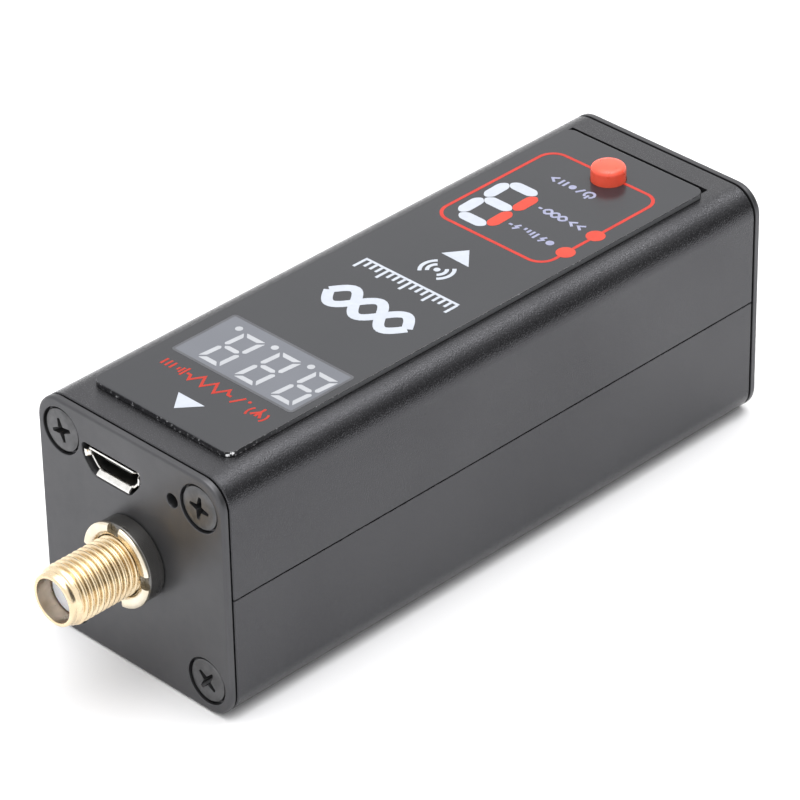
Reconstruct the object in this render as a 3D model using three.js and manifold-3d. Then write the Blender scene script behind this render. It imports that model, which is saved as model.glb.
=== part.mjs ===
// Pocket in-line SWR meter: a split aluminium box with a coaxial jack at each end,
// a display panel and a push button on top, and two boards and a battery inside.
// Millimetres, +Z up, length along Y, antenna end towards -Y, origin under the middle of the box.
import * as THREE from 'three';
import { mergeVertices } from 'three/addons/utils/BufferGeometryUtils.js';
import Module from 'manifold-3d';

const wasm = await Module();
wasm.setup();

// Driving dimensions
const bodyWidth = 26;
const bodyHeight = 27;
const bodyLength = 76;
const cornerRadius = 3;
const splitHeight = 13.95;
const wall = 1.5;
const plateThickness = 1;
const plateEdgeBreak = 0.25;
const clearance = 0.1;
const jackLength = 10.4;

// End plate screws, M2.5 countersunk
const screwSpacingX = 19.4;
const screwSpacingZ = 20;
const screwBore = 1.5;
const countersinkRadius = 2.55;
const screwHeadRadius = 2.35;
const screwHeadHeight = 0.95;
const screwShankRadius = 1.25;
const screwLength = 7;
const screwRecess = 0.1;
const bossRadius = 2.4;

// Top panel and what shows through it
const overlayWidth = 19.3;
const overlayLength = 67.1;
const overlayShift = -0.35;
const overlayThickness = 0.8;
const overlayCorner = 1.2;
const tripleDisplay = { x: 0, y: -20.45, width: 16, length: 8.6, height: 6.1 };
const singleDisplay = { x: -4.3, y: 16.6, width: 7.5, length: 12, height: 6.1 };
const indicatorX = 7.3;
const wattIndicatorY = 14.7;
const swrIndicatorY = 19;
const indicatorRadius = 0.9;
const buttonX = 0.7;
const buttonY = 28.2;
const buttonRadius = 1.85;
const buttonRise = 1.6;
const buttonTravel = 0.3;
const capDepth = 1.6;
const switchHeight = 3.5;
const switchWell = 1.2;

// Charging socket and charge light in the antenna end plate
const usbX = -2.6;
const usbHeight = 22.05;
const usbOpening = { top: 8.2, bottom: 5.2, height: 3.3 };
const usbShellSize = { top: 7.5, bottom: 5.3, height: 2.5, wall: 0.3, length: 5 };
const usbRecess = 0.1;
const tongueHalf = 1.9;
const tongueBottom = usbHeight + 0.05;
const tongueTop = usbHeight + 0.65;
const chargeLightX = 6;
const chargeLightHeight = 22.7;
const chargeLightRadius = 0.75;

// Boards
const boardThickness = 1.2;
const boardWidth = 22.4;
const displayBoardTop = 20.75;
const displayBoardLength = 70;
const rfBoardTop = 12.6;
const rfBoardLength = 62;
const standoff = 0.02;
const can = { halfWidth: 7, front: -18, rear: 8, height: 4, sheet: 0.3 };
const header = { halfWidth: 6, front: 20, rear: 22.5 };

// Battery under the lower board, with its plug and leads
const cell = { halfWidth: 7, halfLength: 20, height: 7.8, corner: 2 };
const pad = { halfWidth: 6, height: 0.8 };
const batterySocket = { halfWidth: 3, front: 25, rear: 29, height: 3 };
const batteryPlug = { halfWidth: 2.6, front: 23.4, rear: 24.9, top: 0.3, bottom: 2.8 };
const leadRadius = 0.4;
const leadSpacing = 2.4;

// Jack, 1/4-36 thread
const jackHeight = bodyHeight / 2;
const threadRadius = 3.175;
const threadPitch = 25.4 / 36;
const threadDepth = 0.38;
const threadTurns = 10;
const threadLead = 0.9;
const jackBore = 2.3;
const jackTipRadius = 2.6;
const flangeRadius = 4.2;
const flangeThickness = 2;
const barrelRadius = 2.8;
const barrelLength = 1.4;
const ringBore = threadRadius + 0.1;
const ringFaceRadius = 4.1;
const collarRadius = 4.45;
const collarThickness = 1.9;
const nutRadius = 4.6;
const nutThickness = 0.55;
const nutSlot = { half: 0.7, floor: 3.9, web: 0.12 };
const faceGap = 0.02;
const insulatorRadius = 2.2;
const insulatorDepth = 1.9;
const insulatorRear = 4.6;
const contactRadius = 0.635;
const contactBore = 0.35;
const contactDepth = 2.6;
const contactRear = 7.5;

// Derived places
const halfWidth = bodyWidth / 2;
const halfLength = bodyLength / 2;
const shellHalfLength = halfLength - plateThickness;
const innerHalfWidth = halfWidth - wall;
const overlayTop = bodyHeight + overlayThickness;
const screwX = screwSpacingX / 2;
const screwHeights = [jackHeight - screwSpacingZ / 2, jackHeight + screwSpacingZ / 2];

// Finishes
const finishes = {
  anodised: { color: 0x2b2b2d, roughness: 0.55, metalness: 0.6 },
  blackSteel: { color: 0x222222, roughness: 0.4, metalness: 0.8 },
  gold: { color: 0xd9b45b, roughness: 0.2, metalness: 1 },
  tin: { color: 0xd8d8d4, roughness: 0.3, metalness: 1 },
  acrylic: { color: 0x1c1d1f, roughness: 0.08, metalness: 0 },
  displayGrey: { color: 0xa8abb0, roughness: 0.4, metalness: 0 },
  redPlastic: { color: 0xe8452f, roughness: 0.35, metalness: 0 },
  blackPlastic: { color: 0x151515, roughness: 0.5, metalness: 0 },
  whitePlastic: { color: 0xf0f0ee, roughness: 0.4, metalness: 0 },
  boardGreen: { color: 0x1c5a34, roughness: 0.45, metalness: 0 },
  foam: { color: 0x303030, roughness: 0.95, metalness: 0 },
  foil: { color: 0xb9bcc0, roughness: 0.35, metalness: 0.6 },
  redWire: { color: 0xb01818, roughness: 0.5, metalness: 0 },
};

const meter = new THREE.Group();

function addPart(parent, name, geometry, finish) {
  const material = new THREE.MeshStandardMaterial(finishes[finish]);
  const mesh = new THREE.Mesh(geometry, material);
  mesh.name = name;
  parent.add(mesh);
  return mesh;
}

// Closed geometry to solid and back, for cuts and joins
function toSolid(geometry) {
  const bare = geometry.clone();
  bare.deleteAttribute('normal');
  bare.deleteAttribute('uv');
  const merged = mergeVertices(bare, 1e-4);
  const mesh = new wasm.Mesh({
    numProp: 3,
    vertProperties: new Float32Array(merged.attributes.position.array),
    triVerts: new Uint32Array(merged.index.array),
  });
  return new wasm.Manifold(mesh);
}

function toGeometry(solid) {
  const mesh = solid.getMesh();
  const geometry = new THREE.BufferGeometry();
  geometry.setAttribute('position', new THREE.BufferAttribute(mesh.vertProperties, 3));
  geometry.setIndex(new THREE.BufferAttribute(mesh.triVerts, 1));
  geometry.computeVertexNormals();
  return geometry;
}

function cut(geometry, cutters) {
  let solid = toSolid(geometry);
  for (const cutter of cutters) {
    solid = solid.subtract(toSolid(cutter));
  }
  return toGeometry(solid);
}

function join(geometries) {
  const solids = geometries.map(toSolid);
  return toGeometry(solids.reduce((sum, solid) => sum.add(solid)));
}

// A box between two corners
function block(low, high) {
  const size = high.map((value, axis) => value - low[axis]);
  const centre = high.map((value, axis) => (value + low[axis]) / 2);
  return new THREE.BoxGeometry(...size).translate(...centre);
}

// An outline in X and Z, extruded along Y from yLow to yHigh
function extrudeAlongY(shape, yLow, yHigh, options = {}) {
  const settings = { depth: yHigh - yLow, bevelEnabled: false, curveSegments: 3, ...options };
  return new THREE.ExtrudeGeometry(shape, settings).rotateX(Math.PI / 2).translate(0, yHigh, 0);
}

// An outline in X and Y, extruded up Z from zLow to zHigh
function extrudeUp(shape, zLow, zHigh) {
  const settings = { depth: zHigh - zLow, bevelEnabled: false, curveSegments: 3 };
  return new THREE.ExtrudeGeometry(shape, settings).translate(0, 0, zLow);
}

function roundedRectangle(width, height, radius, centreX = 0, centreY = 0) {
  const left = centreX - width / 2;
  const right = centreX + width / 2;
  const low = centreY - height / 2;
  const high = centreY + height / 2;
  const shape = new THREE.Shape();
  shape.moveTo(right, high - radius);
  shape.absarc(right - radius, high - radius, radius, 0, Math.PI / 2);
  shape.absarc(left + radius, high - radius, radius, Math.PI / 2, Math.PI);
  shape.absarc(left + radius, low + radius, radius, Math.PI, Math.PI * 1.5);
  shape.absarc(right - radius, low + radius, radius, Math.PI * 1.5, Math.PI * 2);
  return shape;
}

// A solid turned about Y; profile points are [radius, distance along Y]
function turned(profile, segments = 24) {
  const points = profile.map(([radius, along]) => new THREE.Vector2(radius, along));
  return new THREE.LatheGeometry(points, segments);
}

function rodAlongY(radius, yLow, yHigh, segments = 16) {
  return turned([[0, yLow], [radius, yLow], [radius, yHigh], [0, yHigh]], segments);
}

function rodUp(radius, zLow, zHigh, segments = 16) {
  return rodAlongY(radius, zLow, zHigh, segments).rotateX(Math.PI / 2);
}

// Half shells: an extruded wall with two screw bosses and a rib that a board rests on
function shellOutline(sign, edgeHeight) {
  // Worked out for the lower shell; sign -1 turns it over for the upper one
  const flip = (height) => (sign > 0 ? height : bodyHeight - height);
  const shape = new THREE.Shape();
  const corner = halfWidth - cornerRadius;
  const steps = 6;
  const points = [[-halfWidth, edgeHeight]];
  for (const side of [-1, 1]) {
    for (let i = 0; i <= steps; i += 1) {
      const share = side < 0 ? i / steps : 1 - i / steps;
      const angle = share * Math.PI / 2;
      const x = corner + cornerRadius * Math.cos(angle);
      points.push([side * x, cornerRadius - cornerRadius * Math.sin(angle)]);
    }
  }
  points.push([halfWidth, edgeHeight], [innerHalfWidth, edgeHeight]);
  points.push([innerHalfWidth, wall], [-innerHalfWidth, wall], [-innerHalfWidth, edgeHeight]);
  shape.setFromPoints(points.map(([x, height]) => new THREE.Vector2(x, flip(height))));
  return shape;
}

function shellBlank(sign, edgeHeight, ribLow, ribHigh) {
  const pieces = [extrudeAlongY(shellOutline(sign, edgeHeight), -shellHalfLength, shellHalfLength)];
  const bores = [];
  const bossHeight = sign > 0 ? screwHeights[0] : screwHeights[1];
  for (const side of [-1, 1]) {
    const boss = rodAlongY(bossRadius, -shellHalfLength, shellHalfLength, 20);
    pieces.push(boss.translate(side * screwX, 0, bossHeight));
    const bore = rodAlongY(screwBore, -halfLength, halfLength, 16);
    bores.push(bore.translate(side * screwX, 0, bossHeight));
    const ribInner = innerHalfWidth - 1.1;
    const ribOuter = innerHalfWidth + wall / 2;
    const [xLow, xHigh] = side < 0 ? [-ribOuter, -ribInner] : [ribInner, ribOuter];
    pieces.push(block([xLow, -shellHalfLength, ribLow], [xHigh, shellHalfLength, ribHigh]));
  }
  return cut(join(pieces), bores);
}

function addShells() {
  const ribDepth = 0.9;
  const rfRibTop = rfBoardTop - boardThickness - clearance;
  const displayRibTop = displayBoardTop - boardThickness - clearance;
  const lapWidth = wall / 2;
  const lapHeight = 0.8;

  // Lower shell: its outer half wall stops at the split, its inner half rises as a tongue
  const tongue = [-1, 1].map((side) => {
    const inner = side * innerHalfWidth;
    const outer = side * (innerHalfWidth + lapWidth - clearance);
    const base = splitHeight - 0.05 - lapHeight;
    return block(
      [Math.min(inner, outer), -shellHalfLength, base],
      [Math.max(inner, outer), shellHalfLength, splitHeight + lapHeight - 2 * clearance],
    );
  });
  const lowerBlank = shellBlank(1, splitHeight - 0.05, rfRibTop - ribDepth, rfRibTop);
  addPart(meter, 'lower_shell', join([lowerBlank, ...tongue]), 'anodised');

  // Upper shell: a groove for the tongue, and windows through the top
  const upperEdge = bodyHeight - splitHeight;
  const upperBlank = shellBlank(-1, upperEdge, displayRibTop - ribDepth, displayRibTop);
  const groove = [-1, 1].map((side) => {
    const inner = side * (innerHalfWidth - clearance);
    const outer = side * (innerHalfWidth + lapWidth);
    return block(
      [Math.min(inner, outer), -halfLength, splitHeight - 1],
      [Math.max(inner, outer), halfLength, splitHeight + lapHeight],
    );
  });
  const windows = [tripleDisplay, singleDisplay].map((display) => {
    const halfX = display.width / 2 + 0.3;
    const halfY = display.length / 2 + 0.3;
    return block(
      [display.x - halfX, display.y - halfY, displayBoardTop],
      [display.x + halfX, display.y + halfY, overlayTop],
    );
  });
  const lightHoles = [wattIndicatorY, swrIndicatorY].map((y) => {
    return rodUp(indicatorRadius + 0.2, displayBoardTop, overlayTop).translate(indicatorX, y, 0);
  });
  const buttonHole = rodUp(buttonRadius + 0.3, displayBoardTop, overlayTop, 24);
  const openings = [...groove, ...windows, ...lightHoles, buttonHole.translate(buttonX, buttonY, 0)];
  addPart(meter, 'upper_shell', cut(upperBlank, openings), 'anodised');
}

// End plates are drawn for the antenna end, outer face at y = -halfLength
function plateBlank() {
  const outline = roundedRectangle(bodyWidth, bodyHeight, cornerRadius, 0, bodyHeight / 2);
  const edge = {
    bevelEnabled: true,
    bevelSize: plateEdgeBreak,
    bevelOffset: -plateEdgeBreak,
    bevelThickness: plateEdgeBreak,
    bevelSegments: 1,
  };
  const yLow = -halfLength + plateEdgeBreak;
  const yHigh = -shellHalfLength - plateEdgeBreak;
  return extrudeAlongY(outline, yLow, yHigh, edge);
}

function plateCutters() {
  const outside = -halfLength - 1;
  const inside = -shellHalfLength + 1;
  const cutters = [rodAlongY(threadRadius + 0.1, outside, inside, 32).translate(0, 0, jackHeight)];
  for (const x of [-screwX, screwX]) {
    for (const height of screwHeights) {
      const countersink = turned([
        [0, outside],
        [countersinkRadius, outside],
        [countersinkRadius, -halfLength + screwRecess],
        [screwBore, -shellHalfLength],
        [screwBore, inside],
        [0, inside],
      ], 20);
      cutters.push(countersink.translate(x, 0, height));
    }
  }
  return cutters;
}

// The charging socket's outline, wide side up
function socketOutline({ top, bottom, height }, shrink = 0) {
  const halfTop = top / 2 - shrink;
  const halfBottom = bottom / 2 - shrink;
  const high = height / 2 - shrink;
  const shoulder = high - 0.45 * height;
  const points = [
    [-halfBottom, -high], [halfBottom, -high], [halfTop, shoulder], [halfTop, high - 0.35],
    [halfTop - 0.35, high], [0.35 - halfTop, high], [-halfTop, high - 0.35], [-halfTop, shoulder],
  ];
  return new THREE.Shape(points.map(([x, z]) => new THREE.Vector2(x + usbX, z + usbHeight)));
}

function addPlates() {
  const outside = -halfLength - 1;
  const inside = -shellHalfLength + 1;
  const usbCut = extrudeAlongY(socketOutline(usbOpening), outside, inside);
  const lightCut = rodAlongY(chargeLightRadius, outside, inside, 16);
  const antennaCutters = [...plateCutters(), usbCut, lightCut.translate(chargeLightX, 0, chargeLightHeight)];
  addPart(meter, 'antenna_end_plate', cut(plateBlank(), antennaCutters), 'anodised');
  const farPlate = cut(plateBlank(), plateCutters());
  addPart(meter, 'transmitter_end_plate', farPlate, 'anodised').rotation.z = Math.PI;
}

function addScrews() {
  const head = -halfLength + screwRecess;
  const coneEnd = head + screwHeadHeight;
  const blank = turned([
    [0, head],
    [screwHeadRadius, head],
    [screwShankRadius, coneEnd],
    [screwShankRadius, head + screwLength - 0.6],
    [0.6, head + screwLength],
    [0, head + screwLength],
  ], 18);
  const armHalf = 1.3;
  const armThickness = 0.3;
  const recess = [
    block([-armHalf, head - 1, -armThickness], [armHalf, head + 0.8, armThickness]),
    block([-armThickness, head - 1, -armHalf], [armThickness, head + 0.8, armHalf]),
  ];
  const screw = cut(blank, recess);
  for (const [end, turn] of [['antenna', 0], ['transmitter', Math.PI]]) {
    const group = new THREE.Group();
    group.rotation.z = turn;
    meter.add(group);
    let number = 1;
    for (const height of screwHeights) {
      for (const x of [-screwX, screwX]) {
        const mesh = addPart(group, `${end}_plate_screw_${number}`, screw.clone(), 'blackSteel');
        mesh.position.set(x, 0, height);
        mesh.rotation.y = number * 0.7;
        number += 1;
      }
    }
  }
}

// Jack pieces are drawn for the antenna end about the jack axis, y = 0 at the plate's outer face
function jackBodyGeometry() {
  const tip = -jackLength;
  const root = threadRadius - threadDepth;
  const flangeStart = plateThickness + clearance;
  const profile = [[jackBore, tip], [jackTipRadius, tip], [root, tip + 0.35]];
  const threadStart = tip + threadLead;
  for (let turn = 0; turn < threadTurns; turn += 1) {
    const along = threadStart + turn * threadPitch;
    profile.push([root, along], [threadRadius, along + threadPitch / 2]);
  }
  profile.push([root, threadStart + threadTurns * threadPitch]);
  const flangeEnd = flangeStart + flangeThickness;
  const barrelEnd = flangeEnd + barrelLength;
  profile.push([root, flangeStart], [flangeRadius, flangeStart], [flangeRadius, flangeEnd]);
  profile.push([barrelRadius, flangeEnd], [barrelRadius, barrelEnd], [jackBore, barrelEnd], [jackBore, tip]);
  return turned(profile, 16);
}

// A ring about the jack axis with its front corner broken
function ringGeometry(radius, rear, front, corner) {
  return turned([
    [ringBore, rear],
    [ringBore, front],
    [ringFaceRadius, front],
    [radius, front + corner],
    [radius, rear],
    [ringBore, rear],
  ], 32);
}

function jackNutGeometry(nutRear, nutFront) {
  const outside = nutRadius + 1;
  const front = nutFront - 1;
  const { half, floor } = nutSlot;
  const web = nutRear - nutSlot.web;
  const slots = [
    block([-outside, front, -half], [-floor, web, half]),
    block([floor, front, -half], [outside, web, half]),
    block([-half, front, -outside], [half, web, -floor]),
    block([-half, front, floor], [half, web, outside]),
  ];
  return cut(ringGeometry(nutRadius, nutRear, nutFront, 0.3), slots);
}

function addJacks() {
  const collarFront = -faceGap - collarThickness;
  const nutRear = collarFront - faceGap;
  const contactTip = contactDepth - jackLength;
  const insulatorFace = insulatorDepth - jackLength;
  const insulatorBore = contactRadius + 0.05;
  for (const [end, turn] of [['antenna', 0], ['transmitter', Math.PI]]) {
    const group = new THREE.Group();
    group.rotation.z = turn;
    const seat = new THREE.Group();
    seat.position.set(0, -halfLength, jackHeight);
    group.add(seat);
    meter.add(group);
    const collar = ringGeometry(collarRadius, -faceGap, collarFront, 0.35);
    const insulator = turned([
      [insulatorBore, insulatorFace],
      [insulatorRadius, insulatorFace],
      [insulatorRadius, insulatorRear],
      [insulatorBore, insulatorRear],
      [insulatorBore, insulatorFace],
    ], 20);
    const contact = turned([
      [0, contactTip],
      [contactBore, contactTip - 0.5],
      [contactRadius, contactTip - 0.5],
      [contactRadius, contactRear],
      [0, contactRear],
    ], 12);
    addPart(seat, `${end}_jack_body`, jackBodyGeometry(), 'gold');
    addPart(seat, `${end}_jack_nut`, jackNutGeometry(nutRear, nutRear - nutThickness), 'gold');
    addPart(seat, `${end}_jack_collar`, collar, 'blackSteel');
    addPart(seat, `${end}_jack_insulator`, insulator, 'whitePlastic');
    addPart(seat, `${end}_jack_contact`, contact, 'gold');
  }
}

function addTopPanel() {
  const outline = roundedRectangle(overlayWidth, overlayLength, overlayCorner, 0, overlayShift);
  const panel = extrudeUp(outline, bodyHeight, overlayTop);
  const hole = rodUp(buttonRadius + clearance, bodyHeight - 1, overlayTop + 1, 24);
  addPart(meter, 'top_overlay', cut(panel, [hole.translate(buttonX, buttonY, 0)]), 'acrylic');
}

function addDisplays() {
  const modules = [['three_digit_display', tripleDisplay], ['single_digit_display', singleDisplay]];
  for (const [name, display] of modules) {
    const halfX = display.width / 2;
    const halfY = display.length / 2;
    const low = [display.x - halfX, display.y - halfY, displayBoardTop];
    const high = [display.x + halfX, display.y + halfY, displayBoardTop + display.height];
    addPart(meter, name, block(low, high), 'displayGrey');
  }
}

function addLights() {
  const lensTop = bodyHeight - clearance;
  for (const [name, y] of [['watt_indicator_led', wattIndicatorY], ['swr_indicator_led', swrIndicatorY]]) {
    const light = turned([
      [0, displayBoardTop],
      [indicatorRadius, displayBoardTop],
      [indicatorRadius, lensTop - 0.5],
      [indicatorRadius * 0.6, lensTop - 0.1],
      [0, lensTop],
    ], 14);
    addPart(meter, name, light.rotateX(Math.PI / 2), 'redPlastic').position.set(indicatorX, y, 0);
  }
  const front = -shellHalfLength + 0.3;
  const low = [chargeLightX - 0.8, front, displayBoardTop];
  const high = [chargeLightX + 0.8, front + 1.5, chargeLightHeight + 0.9];
  addPart(meter, 'charge_indicator_led', block(low, high), 'redPlastic');
}

// Push button: a low crowned cap on a switch plunger, both on one moving body
function addButton() {
  const capBottom = overlayTop - capDepth;
  const capTop = overlayTop + buttonRise;
  const cap = turned([
    [0, capBottom],
    [buttonRadius, capBottom],
    [buttonRadius, capTop - 0.6],
    [buttonRadius - 0.06, capTop - 0.38],
    [buttonRadius - 0.25, capTop - 0.18],
    [buttonRadius - 0.6, capTop - 0.06],
    [0, capTop],
  ], 24);
  // Turned about Y and then stood up, so height runs along Z
  addPart(meter, 'power_button', cap.rotateX(Math.PI / 2), 'redPlastic').position.set(buttonX, buttonY, 0);

  const baseTop = displayBoardTop + switchHeight;
  const wellFloor = baseTop - switchWell;
  const baseHalf = 3;
  const base = block([-baseHalf, -baseHalf, displayBoardTop], [baseHalf, baseHalf, baseTop]);
  const well = rodUp(1.3, wellFloor, baseTop + 1);
  const switchBase = addPart(meter, 'power_switch_base', cut(base, [well]), 'blackPlastic');
  switchBase.position.set(buttonX, buttonY, 0);
  const plunger = rodUp(1.1, wellFloor + buttonTravel + 0.2, capBottom - standoff, 14);
  addPart(meter, 'power_switch_plunger', plunger, 'whitePlastic').position.set(buttonX, buttonY, 0);
}

function addUsbSocket() {
  const mouth = -halfLength + usbRecess;
  const rear = mouth + usbShellSize.length;
  const shape = socketOutline(usbShellSize);
  shape.holes.push(socketOutline(usbShellSize, usbShellSize.wall));
  addPart(meter, 'usb_shell', extrudeAlongY(shape, mouth, rear), 'tin');
  const innerFloor = usbHeight - usbShellSize.height / 2 + usbShellSize.wall;
  const left = usbX - tongueHalf;
  const right = usbX + tongueHalf;
  const stem = block([left, mouth + 0.8, tongueBottom], [right, rear, tongueTop]);
  const plug = block([left, rear - 1, innerFloor + clearance], [right, rear, tongueTop]);
  addPart(meter, 'usb_tongue', join([stem, plug]), 'blackPlastic');
}

function addBoards() {
  const boards = [
    ['display_board', displayBoardTop, displayBoardLength],
    ['rf_board', rfBoardTop, rfBoardLength],
  ];
  for (const [name, top, length] of boards) {
    const low = [-boardWidth / 2, -length / 2, top - boardThickness];
    const high = [boardWidth / 2, length / 2, top];
    addPart(meter, name, block(low, high), 'boardGreen');
  }

  // Screening can over the coupler, open below
  const canTop = rfBoardTop + can.height;
  const inner = can.halfWidth - can.sheet;
  const shell = block([-can.halfWidth, can.front, rfBoardTop + standoff], [can.halfWidth, can.rear, canTop]);
  const hollow = block(
    [-inner, can.front + can.sheet, rfBoardTop - 1],
    [inner, can.rear - can.sheet, canTop - can.sheet],
  );
  addPart(meter, 'rf_shield', cut(shell, [hollow]), 'tin');

  const headerTop = displayBoardTop - boardThickness - standoff;
  const pins = block(
    [-header.halfWidth, header.front, rfBoardTop + standoff],
    [header.halfWidth, header.rear, headerTop],
  );
  addPart(meter, 'board_header', pins, 'blackPlastic');
}

function addBattery() {
  const padBottom = wall + standoff;
  const padTop = padBottom + pad.height;
  const cushion = block(
    [-pad.halfWidth, -cell.halfLength, padBottom],
    [pad.halfWidth, cell.halfLength, padTop],
  );
  addPart(meter, 'battery_pad', cushion, 'foam');
  const cellCentre = padTop + standoff + cell.height / 2;
  const section = roundedRectangle(2 * cell.halfWidth, cell.height, cell.corner, 0, cellCentre);
  addPart(meter, 'battery_cell', extrudeAlongY(section, -cell.halfLength, cell.halfLength), 'foil');

  const under = rfBoardTop - boardThickness - standoff;
  const socket = block(
    [-batterySocket.halfWidth, batterySocket.front, under - batterySocket.height],
    [batterySocket.halfWidth, batterySocket.rear, under],
  );
  addPart(meter, 'battery_socket', socket, 'whitePlastic');
  const plug = block(
    [-batteryPlug.halfWidth, batteryPlug.front, under - batteryPlug.bottom],
    [batteryPlug.halfWidth, batteryPlug.rear, under - batteryPlug.top],
  );
  addPart(meter, 'battery_plug', plug, 'whitePlastic');

  // Leads rise from the end of the cell to the plug
  const leadSection = new THREE.Shape();
  leadSection.absarc(0, 0, leadRadius, 0, Math.PI * 2);
  for (const [name, side, finish] of [['positive', -1, 'redWire'], ['negative', 1, 'blackPlastic']]) {
    const near = side * leadSpacing;
    const far = near / 2;
    const route = new THREE.CatmullRomCurve3([
      new THREE.Vector3(near, cell.halfLength + 0.05, cellCentre - 0.2),
      new THREE.Vector3(near, cell.halfLength + 1.2, cellCentre),
      new THREE.Vector3(far, cell.halfLength + 2.2, under - 1.8),
      new THREE.Vector3(far, batteryPlug.front - 0.1, under - 1.5),
    ]);
    const settings = { steps: 8, bevelEnabled: false, extrudePath: route, curveSegments: 4 };
    const lead = new THREE.ExtrudeGeometry(leadSection, settings);
    addPart(meter, `battery_lead_${name}`, lead, finish);
  }
}

addShells();
addPlates();
addScrews();
addJacks();
addTopPanel();
addDisplays();
addLights();
addButton();
addUsbSocket();
addBoards();
addBattery();

export default meter;
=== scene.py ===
"""Looks of the pocket SWR meter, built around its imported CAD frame.

Shapes are drawn in mm, with the antenna end towards -Y, and mesh_object turns them to metres.
"""

import math

import bmesh
import bpy
from mathutils import Matrix, Vector
from mathutils.geometry import tessellate_polygon


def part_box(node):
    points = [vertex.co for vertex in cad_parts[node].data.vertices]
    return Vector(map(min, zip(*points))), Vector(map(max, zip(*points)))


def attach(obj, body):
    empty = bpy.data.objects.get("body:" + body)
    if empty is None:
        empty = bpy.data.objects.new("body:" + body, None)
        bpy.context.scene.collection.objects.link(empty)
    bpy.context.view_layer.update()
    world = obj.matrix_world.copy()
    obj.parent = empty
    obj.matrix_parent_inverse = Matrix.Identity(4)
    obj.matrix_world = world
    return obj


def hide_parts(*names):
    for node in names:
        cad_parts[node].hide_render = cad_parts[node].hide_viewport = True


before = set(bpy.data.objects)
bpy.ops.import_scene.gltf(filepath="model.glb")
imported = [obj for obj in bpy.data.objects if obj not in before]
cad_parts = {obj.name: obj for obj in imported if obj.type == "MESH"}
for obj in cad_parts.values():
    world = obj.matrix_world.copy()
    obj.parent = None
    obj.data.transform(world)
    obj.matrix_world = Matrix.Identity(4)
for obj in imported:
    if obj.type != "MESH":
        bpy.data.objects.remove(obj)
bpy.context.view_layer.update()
scene = bpy.context.scene

MM = 0.001


# ---------------------------------------------------------------- places, from the frame, in mm
def corners(node):
    """Lowest and highest corner of a CAD node's box."""
    low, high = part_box(node)
    return [v / MM for v in low], [v / MM for v in high]


def mid_point(node):
    return [(a + b) / 2 for a, b in zip(*corners(node))]


plate_low, plate_high = corners("antenna_end_plate")
shell_low, shell_high = corners("lower_shell")
panel_low, panel_high = corners("top_overlay")
button_low, button_high = corners("power_button")
collar_low, collar_high = corners("antenna_jack_collar")
nut_low, nut_high = corners("antenna_jack_nut")
usb_low, usb_high = corners("usb_shell")

HALF_WIDTH = plate_high[0]
HEIGHT = plate_high[2]
FACE = plate_low[1]
PLATE_BACK = plate_high[1]
INK_ROOM = 0.2  # the panel is drawn this much thinner, which leaves room for the printed marks
PANEL_TOP = panel_high[2] - INK_ROOM
SPLIT = 13.95
WALL = 1.5
CORNER = 3.0
JACK_Z = mid_point("antenna_jack_collar")[2]
BUTTON_X, BUTTON_Y, _ = mid_point("power_button")
BUTTON_HOLE = 1.89
SCREW_X = 9.7
SCREW_Z = (3.5, 23.5)
USB_X, _, USB_Z = mid_point("usb_shell")
half_turn = Matrix.Rotation(math.pi, 4, "Z")


# ---------------------------------------------------------------- outlines, in mm
def arc(cx, cy, radius, start, end, steps):
    """Points on an arc; the angles are in degrees."""
    points = []
    for i in range(steps + 1):
        angle = math.radians(start + (end - start) * i / steps)
        points.append((cx + radius * math.cos(angle), cy + radius * math.sin(angle)))
    return points


def circle(cx, cy, radius, steps=48):
    return arc(cx, cy, radius, 0, 360, steps)[:-1]


def rounded_box(x0, x1, y0, y1, radius, steps=10):
    """Counter-clockwise rectangle with round corners."""
    return (
        arc(x1 - radius, y0 + radius, radius, -90, 0, steps)
        + arc(x1 - radius, y1 - radius, radius, 0, 90, steps)
        + arc(x0 + radius, y1 - radius, radius, 90, 180, steps)
        + arc(x0 + radius, y0 + radius, radius, 180, 270, steps)
    )


def soften(points, reach, steps=4):
    """The same polygon with each corner turned into a short curve."""
    out = []
    count = len(points)
    for i, corner in enumerate(points):
        here = Vector(corner)
        before = Vector(points[i - 1]) - here
        after = Vector(points[(i + 1) % count]) - here
        start = here + before.normalized() * min(reach, before.length * 0.48)
        end = here + after.normalized() * min(reach, after.length * 0.48)
        for k in range(steps + 1):
            t = k / steps
            point = start * (1 - t) ** 2 + here * (2 * t * (1 - t)) + end * t**2
            out.append(tuple(point))
    return out


def normals(points):
    """Mitre vector at each point of a closed outline, to the left of its direction."""
    out = []
    count = len(points)
    for i, corner in enumerate(points):
        here = Vector(corner)
        first = (here - Vector(points[i - 1])).normalized()
        second = (Vector(points[(i + 1) % count]) - here).normalized()
        a = Vector((-first.y, first.x))
        b = Vector((-second.y, second.x))
        out.append((a + b) / max(0.3, 1 + a.dot(b)))
    return out


def inset(points, amount):
    """The outline moved inwards, if it runs counter-clockwise."""
    if not amount:
        return list(points)
    return [(x + m.x * amount, y + m.y * amount) for (x, y), m in zip(points, normals(points))]


def level_y(points, y):
    return [(x, y, z) for x, z in points]


def level_z(points, z):
    return [(x, y, z) for x, y in points]


# ---------------------------------------------------------------- meshes
def solid(loops):
    """Closed mesh from loops of rings: the first loop is the outside and the others are holes."""
    bm = bmesh.new()
    ends = ([], [])
    for rings in loops:
        rows = [[bm.verts.new(point) for point in ring] for ring in rings]
        for low, high in zip(rows, rows[1:]):
            for i in range(len(low)):
                j = (i + 1) % len(low)
                bm.faces.new((low[i], low[j], high[j], high[i]))
        ends[0].append(rows[0])
        ends[1].append(rows[-1])
    for group in ends:
        flat = [vert for ring in group for vert in ring]
        for face in tessellate_polygon([[vert.co for vert in ring] for ring in group]):
            if len(set(face)) == 3:
                bm.faces.new([flat[i] for i in face])
    return bm


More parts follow.
